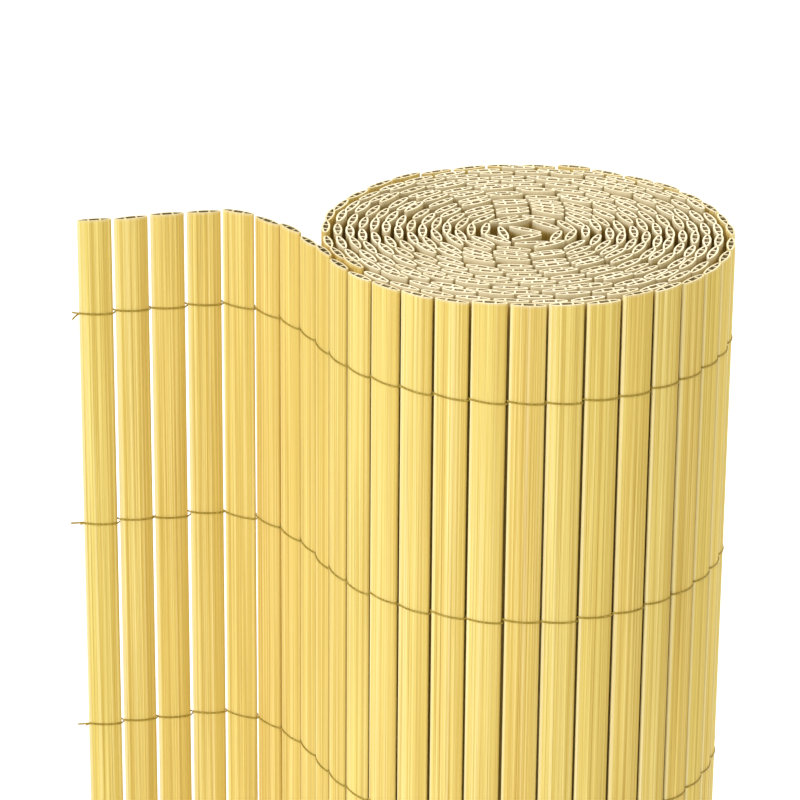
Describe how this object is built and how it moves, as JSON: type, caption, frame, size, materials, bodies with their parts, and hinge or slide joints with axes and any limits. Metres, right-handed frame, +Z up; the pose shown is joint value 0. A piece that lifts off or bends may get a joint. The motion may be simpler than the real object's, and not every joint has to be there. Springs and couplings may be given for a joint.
{
  "type": "pvc cane screen",
  "caption": "Rolled garden screen of hollow flattened PVC canes held side by side by rows of twisted thread, standing on end with its outer end unrolled.",
  "frame": {"origin": "on the floor, on a web of the innermost slat, at the middle of the roll", "axes": "+Z up along the slats; -X towards the unrolled end; -Y towards the front of the roll"},
  "size_m": [0.3295, 0.2071, 0.9016],
  "materials": {
    "slat": "extruded PVC, satin, with fine lengthwise streaks like split cane",
    "thread": "twisted synthetic thread, slightly glossy"
  },
  "bodies": {
    "root": {"free_slat_01": "slat", "free_slat_02": "slat", "free_slat_03": "slat", "free_slat_04": "slat", "free_slat_05": "slat", "free_slat_06": "slat", "free_slat_07": "slat", "free_slat_08": "slat", "free_slat_09": "slat", "free_slat_10": "slat", "row_1_strand_a": "thread", "row_1_strand_b": "thread", "row_2_strand_a": "thread", "row_2_strand_b": "thread", "row_3_strand_a": "thread", "row_3_strand_b": "thread", "row_4_strand_a": "thread", "row_4_strand_b": "thread", "row_5_strand_a": "thread", "row_5_strand_b": "thread", "row_6_strand_a": "thread", "row_6_strand_b": "thread", "row_7_strand_a": "thread", "row_7_strand_b": "thread", "row_8_strand_a": "thread", "row_8_strand_b": "thread", "turn_01_slats": "slat", "turn_02_slats": "slat", "turn_03_slats": "slat", "turn_04_slats": "slat", "turn_05_slats": "slat", "turn_06_slats": "slat", "turn_07_slats": "slat", "turn_08_slats": "slat", "turn_09_slats": "slat", "turn_10_slats": "slat", "turn_11_slats": "slat", "turn_12_slats": "slat", "turn_13_slats": "slat", "turn_14_slats": "slat", "turn_15_slats": "slat", "turn_16_slats": "slat"}
  },
  "joints": []
}
